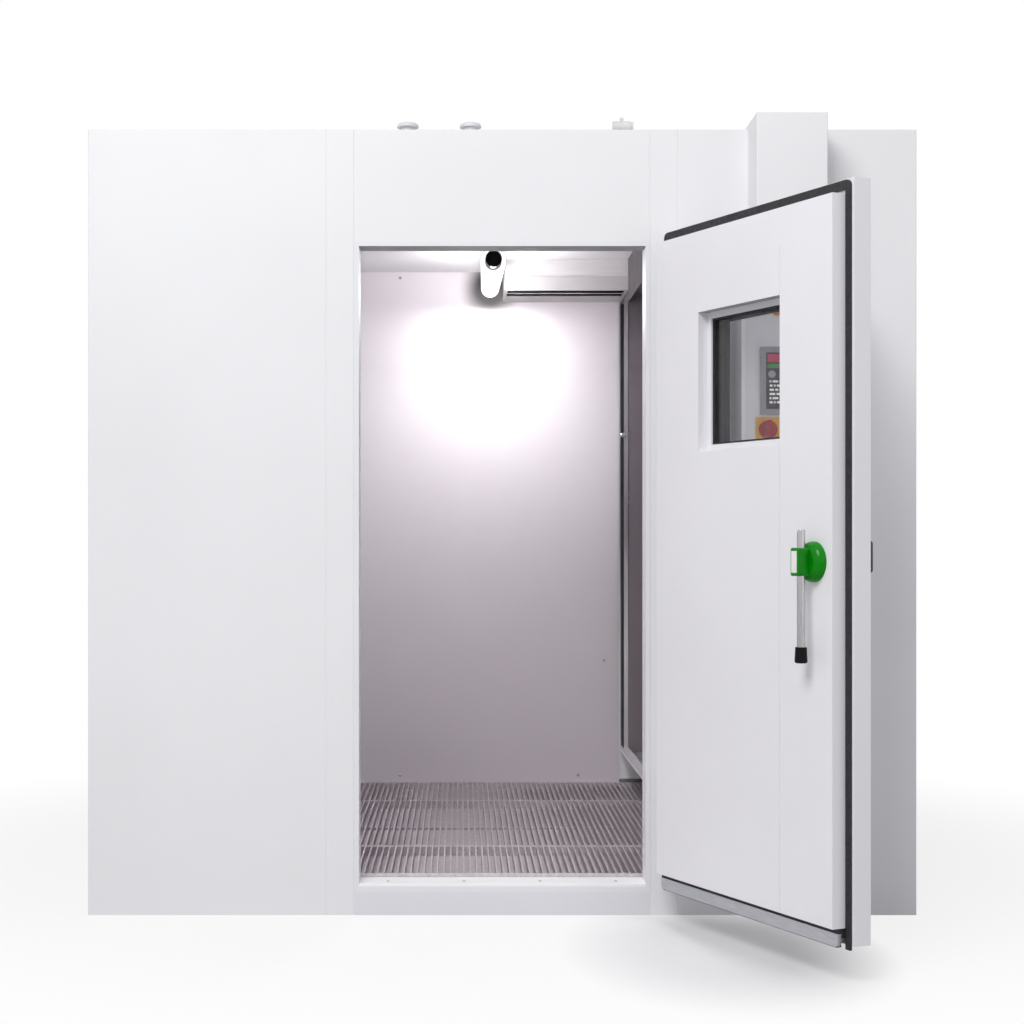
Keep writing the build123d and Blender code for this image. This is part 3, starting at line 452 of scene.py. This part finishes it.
materials = {
    "panel": paint("panel", WHITE, 0.42, 0.52),
    # the leaf's paint is paler than the panels' as painted light on the door
    "leaf": leaf_paint("leaf", (0.91, 0.895, 0.925)),
    "sill": paint("sill", (0.8, 0.795, 0.83), 0.4, 0.5),
    "frame": frame_paint("frame", (0.84, 0.835, 0.86)),
    "sweep": brushed("sweep", (0.62, 0.62, 0.65), 0.3, 0.4, (0.02, 0.02, 1)),
    "lining": lining_paint("lining", (0.69, 0.64, 0.675)),
    "upright": brushed("upright", STEEL, 0.25, 0.38, (1, 1, 0.02)),
    "duct": duct_paint("duct", (0.94, 0.89, 0.915)),
    "pale_plastic": plastic("pale_plastic", (0.72, 0.72, 0.73), 0.4, 0.55),
    # near-black matt sheet as painted shade in the slot beside the unit
    "shade_dark_liner": plastic("shade_dark_liner", (0.1, 0.093, 0.1), 0.6, 0.7, shine=0.05),
    "foot_rubber": rubber("foot_rubber", (0.13, 0.13, 0.13)),
    "threshold": paint("threshold", (0.93, 0.93, 0.94), 0.3, 0.4),
    "grate": galvanised("grate", (0.58, 0.53, 0.56), (0.72, 0.67, 0.7)),
    # zinc floor under the grates; its darker tone is painted shade between the bars
    "shaded_under_floor": galvanised("shaded_under_floor", (0.5, 0.46, 0.48), (0.6, 0.56, 0.58)),
    "zinc": galvanised("zinc", (0.36, 0.36, 0.38), (0.52, 0.52, 0.54)),
    "fins": brushed("fins", (0.31, 0.275, 0.3), 0.45, 0.6, (1, 0.02, 1)),
    # dark paint as painted shade, a pale foot, and a painted highlight on the post
    "shaded_unit_sheet": unit_shade_paint("shaded_unit_sheet", (0.12, 0.11, 0.12), (0.62, 0.6, 0.62)),
    "steel": brushed("steel", (0.55, 0.54, 0.55), 0.2, 0.32, (1, 1, 0.03)),
    "dark_metal": paint("dark_metal", (0.03, 0.03, 0.034), 0.3, 0.45),
    "cabinet": paint("cabinet", (0.86, 0.855, 0.9), 0.35, 0.5, 0.0002),
    "rubber": rubber("rubber", (0.012, 0.012, 0.014)),
    "black_plastic": plastic("black_plastic", (0.005, 0.005, 0.006), 0.32, 0.48, shine=0.12),
    "grey_plastic": plastic("grey_plastic", (0.42, 0.42, 0.44), 0.4, 0.55),
    "green_plastic": plastic("green_plastic", (0.0, 0.225, 0.001), 0.14, 0.22, depth=0.00003, shine=0.2),
    "yellow": plastic("yellow", (0.78, 0.42, 0.01), 0.35, 0.5, shine=0.15),
    "red": plastic("red", (0.45, 0.005, 0.008), 0.22, 0.34, shine=0.15),
    "orange": plastic("orange", (0.8, 0.25, 0.01), 0.15, 0.28),
    "screen": plastic("screen", (0.03, 0.022, 0.035), 0.2, 0.3, depth=0.00001, shine=0.1),
    "bezel": plastic("bezel", (0.36, 0.34, 0.38), 0.4, 0.55),
    "screw": brushed("screw", (0.5, 0.49, 0.5), 0.25, 0.4, (1, 1, 1), 300.0),
    # pale strip as a painted highlight on the cabinet door's edge
    "edge_highlight_strip": paint("edge_highlight_strip", (0.97, 0.97, 0.98), 0.4, 0.5),
    "label": plastic("label", (0.88, 0.88, 0.84), 0.35, 0.5),
    "sealant": plastic("sealant", (0.74, 0.73, 0.75), 0.5, 0.6),
    "display_red": lit_glass("display_red", (0.42, 0.03, 0.09), 0.35),
    "display_green": lit_glass("display_green", (0.05, 0.22, 0.06), 0.35),
    "display_white": lit_glass("display_white", (0.75, 0.75, 0.75), 0.4),
    "glass": clear_glass("glass", (0.985, 0.99, 0.99)),
    "lamp": lit_glass("lamp", (1.0, 0.99, 0.97), 1.1),
}

finishes = {
    "panel": ["front_panels", "door_posts", "lintel_panel", "left_wall_panels",
              "right_wall_panels", "rear_wall_panels", "roof_panels", "cable_column"],
    "leaf": ["door_flange", "door_plug", "latch_bolt"],
    "sill": ["sill_panel", "unit_plinth"],
    "frame": ["door_frame", "window_frames"],
    "sweep": ["sweep_holder"],
    "lining": ["rear_lining"],
    "shaded_unit_sheet": ["unit_side_panel"],
    "upright": ["drip_pan", "heater_battery", "climate_sensor", "lamp_mounts"],
    "duct": ["air_duct"],
    "threshold": ["threshold_plate"],
    "grate": ["floor_grates"],
    "shaded_under_floor": ["floor_panel"],
    "zinc": ["fan_deck", "fan_shrouds", "mounting_plate"],
    "fins": ["evaporator_coil"],
    "steel": ["lever_tube", "handle_spindle", "frame_hinge_leaves", "leaf_hinge_leaves", "hinge_pins",
              "cabinet_lock"],
    "dark_metal": ["lock_case", "outer_handle", "fan_motors"],
    "cabinet": ["cabinet_body", "cabinet_door"],
    "rubber": ["door_gasket", "sweep_seals", "window_seals"],
    "black_plastic": ["lamp_cap", "lever_tip", "fan_rotor_1", "fan_rotor_2"],
    "grey_plastic": ["circuit_breakers"],
    "pale_plastic": ["roof_vents", "roof_valve"],
    "green_plastic": ["lever_dome", "lever_hub"],
    "yellow": ["switch_plate"],
    "red": ["switch_knob"],
    "orange": ["signal_lamp"],
    "screen": ["controller_screen"],
    "bezel": ["controller_bezel"],
    "glass": ["window_panes"],
    "lamp": ["lamp_lens"],
}


def finish_nodes():
    """Gives each CAD piece its material."""
    for name, members in finishes.items():
        for member in members:
            mesh = nodes[member].data
            mesh.materials.clear()
            mesh.materials.append(materials[name])


def make_camera():
    """The photograph's camera, with its axis on the photograph's own pixel."""
    data = bpy.data.cameras.new("camera")
    data.sensor_width = SENSOR
    data.lens = FOCAL_PIXELS * SENSOR / PHOTO_WIDTH
    centre = PHOTO_WIDTH / 2
    data.shift_x = (centre - AXIS_PIXEL[0]) / PHOTO_WIDTH
    data.shift_y = (AXIS_PIXEL[1] - centre) / PHOTO_WIDTH
    data.clip_end = 60
    camera = bpy.data.objects.new("camera", data)
    camera.location = CAMERA_PLACE
    camera.rotation_euler = (math.radians(90), 0, 0)
    bpy.context.scene.collection.objects.link(camera)
    bpy.context.scene.camera = camera


def add_light(name, kind, place, power, **settings):
    data = bpy.data.lights.new(name, kind)
    data.energy = power
    for key, value in settings.items():
        setattr(data, key, value)
    light = bpy.data.objects.new(name, data)
    light.location = place
    bpy.context.scene.collection.objects.link(light)
    return light


def softbox(name, place, target, power, size):
    """A square studio light, aimed at a point."""
    light = add_light(name, "AREA", place, power, size=size)
    aim = Vector(target) - Vector(place)
    light.rotation_euler = aim.to_track_quat("-Z", "Y").to_euler()


def make_lights():
    """Two softboxes, and two lights near the luminaire for its glow and its light on the floor."""
    softbox("key", KEY_PLACE, LIT_WALL, KEY_POWER, KEY_SIZE)
    softbox("fill", FILL_PLACE, LIT_CABINET, FILL_POWER, FILL_SIZE)
    low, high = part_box("lamp_lens")
    middle = (low + high) / 2
    glow = add_light("luminaire_glow", "POINT",
                     (middle.x, high.y - GLOW_FROM_WALL, low.z - GLOW_BELOW),
                     GLOW_POWER, shadow_soft_size=GLOW_RADIUS)
    glow.visible_camera = False
    down = add_light("luminaire_down", "AREA",
                     (middle.x, middle.y - DOWN_SIZE[1] / 4, low.z - DOWN_BELOW),
                     DOWN_POWER, shape="RECTANGLE", size=DOWN_SIZE[0], size_y=DOWN_SIZE[1])
    down.visible_camera = False


def make_world():
    """White behind the object, and a soft even sky for what lights it."""
    world = bpy.data.worlds.new("studio")
    bpy.context.scene.world = world
    world.use_nodes = True
    tree = world.node_tree
    tree.nodes.clear()
    path = tree.nodes.new("ShaderNodeLightPath")
    seen = tree.nodes.new("ShaderNodeMath")
    seen.operation = "MAXIMUM"
    seen_through = tree.nodes.new("ShaderNodeMath")
    seen_through.operation = "MAXIMUM"
    tree.links.new(path.outputs["Is Camera Ray"], seen.inputs[0])
    tree.links.new(path.outputs["Is Glossy Ray"], seen.inputs[1])
    tree.links.new(seen.outputs[0], seen_through.inputs[0])
    tree.links.new(path.outputs["Is Transmission Ray"], seen_through.inputs[1])
    sky = tree.nodes.new("ShaderNodeBackground")
    sky.inputs["Color"].default_value = (0.96, 0.97, 1.0, 1)
    sky.inputs["Strength"].default_value = SKY_STRENGTH
    white = tree.nodes.new("ShaderNodeBackground")
    white.inputs["Strength"].default_value = 1.0
    white.inputs["Color"].default_value = (1, 1, 1, 1)
    mix = tree.nodes.new("ShaderNodeMixShader")
    output = tree.nodes.new("ShaderNodeOutputWorld")
    tree.links.new(seen_through.outputs[0], mix.inputs[0])
    tree.links.new(sky.outputs[0], mix.inputs[1])
    tree.links.new(white.outputs[0], mix.inputs[2])
    tree.links.new(mix.outputs[0], output.inputs[0])


def make_floor():
    """A wide white floor that goes into the white behind it; near the open door, and faintly round the
    box, it keeps the real shadow on a grey patch that is partly a painted shadow.
    """
    mesh = bpy.data.meshes.new("studio_floor")
    bm = bmesh.new()
    signs = ((-1, -1), (1, -1), (1, 1), (-1, 1))
    corners = [bm.verts.new((x * FLOOR_REACH, y * FLOOR_REACH, 0)) for x, y in signs]
    bm.faces.new(corners)
    bm.to_mesh(mesh)
    bm.free()
    floor = bpy.data.objects.new("studio_floor", mesh)
    bpy.context.scene.collection.objects.link(floor)
    graph = Graph("studio_floor")
    graph.colour(graph.span(graph.noise(0.6, 2.0), 0, 1), (0.62, 0.62, 0.63), (0.64, 0.64, 0.65))
    graph.roughness(graph.noise(3.0, 2.0), 0.8, 0.9)
    graph.set(Specular_IOR_Level=0.1)
    path = graph.add("ShaderNodeLightPath")
    lift = graph.add("ShaderNodeEmission")
    lift.inputs["Strength"].default_value = FLOOR_LIFT
    both = graph.add("ShaderNodeAddShader")
    graph.link(graph.shader.outputs[0], both.inputs[0])
    graph.link(lift.outputs[0], both.inputs[1])
    white = graph.add("ShaderNodeEmission")
    white.inputs["Strength"].default_value = 1.0
    # painted shadow patch near the open door, which also carries the real shadow; faint round the box
    deep = graph.fade(SHADOW_CENTRE, SHADOW_SPREAD, SHADOW_FROM, SHADOW_BY, 1.0, 0.0)
    faint = graph.fade((0, 0, 0), (1, 1, 1), WHITE_FROM, WHITE_BY, FAINT_SHADOW, 0.0)
    shown = graph.add("ShaderNodeMath", operation="MAXIMUM")
    graph.link(deep, shown.inputs[0])
    graph.link(faint, shown.inputs[1])
    seen = graph.add("ShaderNodeMixShader")
    graph.link(shown.outputs[0], seen.inputs[0])
    graph.link(white.outputs[0], seen.inputs[1])
    graph.link(both.outputs[0], seen.inputs[2])
    mix = graph.add("ShaderNodeMixShader")
    graph.link(path.outputs["Is Camera Ray"], mix.inputs[0])
    graph.link(graph.shader.outputs[0], mix.inputs[1])
    graph.link(seen.outputs[0], mix.inputs[2])
    graph.link(mix.outputs[0], graph.output.inputs["Surface"])
    mesh.materials.append(graph.material)


def add_piece(name, bm, material, body):
    """Turns a finished bmesh into a piece that rides a body."""
    mesh = bpy.data.meshes.new(name)
    bm.to_mesh(mesh)
    bm.free()
    mesh.materials.append(material)
    piece = bpy.data.objects.new(name, mesh)
    bpy.context.scene.collection.objects.link(piece)
    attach(piece, body)
    return piece


def lathe(bm, profile, place, normal, steps=16):
    """Turns a profile of (radius, height) pairs round an axis that stands on a face."""
    turn = Vector(normal).to_track_quat("Z", "Y").to_matrix()
    rings = []
    for radius, height in profile:
        ring = []
        for i in range(steps):
            angle = 2 * math.pi * i / steps
            point = Vector((radius * math.cos(angle), radius * math.sin(angle), height))
            ring.append(bm.verts.new(Vector(place) + turn @ point))
        rings.append(ring)
    for lower, upper in zip(rings, rings[1:]):
        for i in range(steps):
            j = (i + 1) % steps
            bm.faces.new((lower[i], lower[j], upper[j], upper[i]))
    bm.faces.new(rings[-1])


def bar(bm, low, high, edge):
    """A block with its edges taken off, between two corners."""
    made = bmesh.ops.create_cube(bm, size=1.0)["verts"]
    for vert in made:
        for axis in range(3):
            middle = (low[axis] + high[axis]) / 2
            vert.co[axis] = middle + vert.co[axis] * (high[axis] - low[axis])
    edges = {e for vert in made for e in vert.link_edges}
    bmesh.ops.bevel(bm, geom=list(edges), offset=edge, segments=2, affect="EDGES", profile=0.5)


def bar_piece(name, low, high, edge, material, body):
    bm = bmesh.new()
    bar(bm, low, high, edge)
    add_piece(name, bm, materials[material], body)


def screw_piece(name, places, normal, size, body, turn=None):
    """Pan-head screws with a round recess, all facing one way."""
    bm = bmesh.new()
    rise = size * 0.42
    profile = ((size, 0), (size, rise * 0.45), (size * 0.8, rise * 0.9), (size * 0.5, rise),
               (size * 0.42, rise), (size * 0.36, rise * 0.4))
    for place in places:
        lathe(bm, profile, place, normal)
    if turn is not None:
        bmesh.ops.transform(bm, matrix=turn, verts=bm.verts)
    piece = add_piece(name, bm, materials["screw"], body)
    for face in piece.data.polygons:
        face.use_smooth = len(face.vertices) == 4


def make_screws():
    """The screws of the back lining, the threshold and both halves of the hinges."""
    lining_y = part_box("rear_lining")[0].y
    lining = [(x, lining_y, z) for x in LINING_SCREW_COLUMNS for z in LINING_SCREW_ROWS]
    lining.append((LINING_SIDE_SCREW[0], lining_y, LINING_SIDE_SCREW[1]))
    screw_piece("lining_screws", lining, (0, -1, 0), LINING_SCREW, "chamber")
    low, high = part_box("threshold_plate")
    row = [(x, low.y + THRESHOLD_SCREW_INSET, high.z) for x in THRESHOLD_SCREW_COLUMNS]
    screw_piece("threshold_screws", row, (0, 0, 1), SMALL_SCREW, "chamber")
    plate_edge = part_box("frame_hinge_leaves")[1].x
    frame_side = [(plate_edge - HINGE_SCREW_INSET, HINGE_PLATE_FACE, z + step)
                  for z in HINGE_HEIGHTS for step in HINGE_SCREW_STEPS]
    screw_piece("frame_hinge_screws", frame_side, (0, -1, 0), SMALL_SCREW, "chamber")
    leaf_side = [(LEAF_SIDE_FACE, LEAF_SCREW_Y, z + step)
                 for z in HINGE_HEIGHTS for step in HINGE_SCREW_STEPS]
    screw_piece("leaf_hinge_screws", leaf_side, (1, 0, 0), SMALL_SCREW, "door", OPENED)


def make_leaf_details():
    """The blank plate on the lever's hub and the hairline seam of the leaf's inner sheet."""
    bm = bmesh.new()
    x, y, z = LABEL_CENTRE
    bar(bm, (x - LABEL_WIDTH / 2, y, z - LABEL_HEIGHT / 2),
        (x + LABEL_WIDTH / 2, y + LABEL_PROUD, z + LABEL_HEIGHT / 2), LABEL_PROUD * 0.4)
    bmesh.ops.transform(bm, matrix=OPENED, verts=bm.verts)
    add_piece("hub_end_plate", bm, materials["label"], "handle")
    bm = bmesh.new()
    for bottom, top in SEAM_SPANS:
        bar(bm, (SEAM_X - SEAM_WIDTH / 2, SEAM_FACE, bottom),
            (SEAM_X + SEAM_WIDTH / 2, SEAM_FACE + SEAM_PROUD, top), SEAM_PROUD * 0.3)
    bmesh.ops.transform(bm, matrix=OPENED, verts=bm.verts)
    add_piece("leaf_seam", bm, materials["sealant"], "door")


def make_display():
    """A plain display: a red band, a green band, a round mark and rows of short bars."""
    low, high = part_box("controller_screen")
    face = low.y - DISPLAY_PROUD
    left = low.x + DISPLAY_MARGIN
    right = high.x - DISPLAY_MARGIN
    top = high.z - DISPLAY_MARGIN
    edge = DISPLAY_PROUD * 0.3
    for name, material, start, end in DISPLAY_BANDS:
        bar_piece(name, (left, face, top - end), (right, low.y, top - start), edge,
                  material, "cabinet_door")
    bm = bmesh.new()
    profile = ((MARK_RADIUS, 0), (MARK_RADIUS, DISPLAY_PROUD), (MARK_RADIUS - 0.0015, DISPLAY_PROUD * 1.2))
    lathe(bm, profile, (left + MARK_PLACE[0], low.y, top - MARK_PLACE[1]), (0, -1, 0), 32)
    add_piece("display_round_mark", bm, materials["grey_plastic"], "cabinet_door")
    bm = bmesh.new()
    for row in range(ROW_COUNT):
        z = top - ROW_START[1] - row * ROW_SPACING
        x = left + ROW_START[0]
        for count in range(BAR_COUNT):
            wide = BAR_SHORTEST + BAR_STEP * ((row * 5 + count * 3) % 4)
            bar(bm, (x, face, z - ROW_HALF_HEIGHT), (x + wide, low.y, z + ROW_HALF_HEIGHT), edge)
            x += wide + BAR_STEP
    add_piece("display_rows", bm, materials["display_white"], "cabinet_door")


def make_vanes():
    """The vanes in the duct's slots."""
    low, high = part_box("air_duct")
    bottom = low.z + VANE_LIFT
    bm = bmesh.new()
    for start in VANE_STARTS:
        for i in range(VANE_COUNT):
            y = start + i * VANE_SPACING
            bar(bm, (low.x + VANE_INSET, y, bottom),
                (high.x - VANE_INSET, y + VANE_THICKNESS, bottom + VANE_HEIGHT), 0.0004)
    add_piece("duct_vanes", bm, materials["black_plastic"], "chamber")


def make_unit_details():
    """The plate over the coil, the seal at the back wall's foot and the dark sheet behind the unit, whose
    darkness is painted shade in the slot beside the unit.
    """
    coil_low, coil_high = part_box("evaporator_coil")
    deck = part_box("fan_deck")[0].z
    bar_piece("coil_blanking_plate", (coil_low.x, coil_high.y - BLANK_THICKNESS, coil_high.z),
              (coil_high.x, coil_high.y, deck), BLANK_THICKNESS * 0.4,
              "fins", "chamber")
    floor_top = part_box("floor_grates")[1].z
    lining_low, lining_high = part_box("rear_lining")
    base_low, base_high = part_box("unit_plinth")
    back = lining_high.y - SMALL_GAP
    bar_piece("foot_seal",
              (lining_high.x + SMALL_GAP, lining_low.y - SEAL_PROUD, floor_top + SMALL_GAP),
              (base_low.x + SEAL_REACH, back, floor_top + SEAL_HEIGHT), SEAL_EDGE,
              "foot_rubber", "chamber")
    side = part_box("unit_side_panel")[1].x
    # dark sheet behind the unit: painted shade in the slot beside it
    bar_piece("unit_back_liner",
              (side + SMALL_GAP, lining_high.y - LINER_THICKNESS, base_high.z + SMALL_GAP),
              (coil_high.x, back, deck - SMALL_GAP), SMALL_GAP,
              "shade_dark_liner", "chamber")


def make_cabinet_edge():
    """The pale edge strip on the opening side of the cabinet's door, a painted highlight where that edge
    catches the light.
    """
    low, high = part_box("cabinet_door")
    bar_piece("cabinet_edge_strip", (low.x, CABINET_FACE - EDGE_PROUD, low.z + EDGE_INSET),
              (low.x + EDGE_WIDTH, CABINET_FACE, high.z - EDGE_INSET), EDGE_PROUD * 0.4,
              "edge_highlight_strip", "cabinet_door")


finish_nodes()
make_screws()
make_leaf_details()
make_display()
make_vanes()
make_unit_details()
make_cabinet_edge()
make_camera()
make_lights()
make_world()
make_floor()

bpy.context.scene.view_settings.view_transform = "Standard"
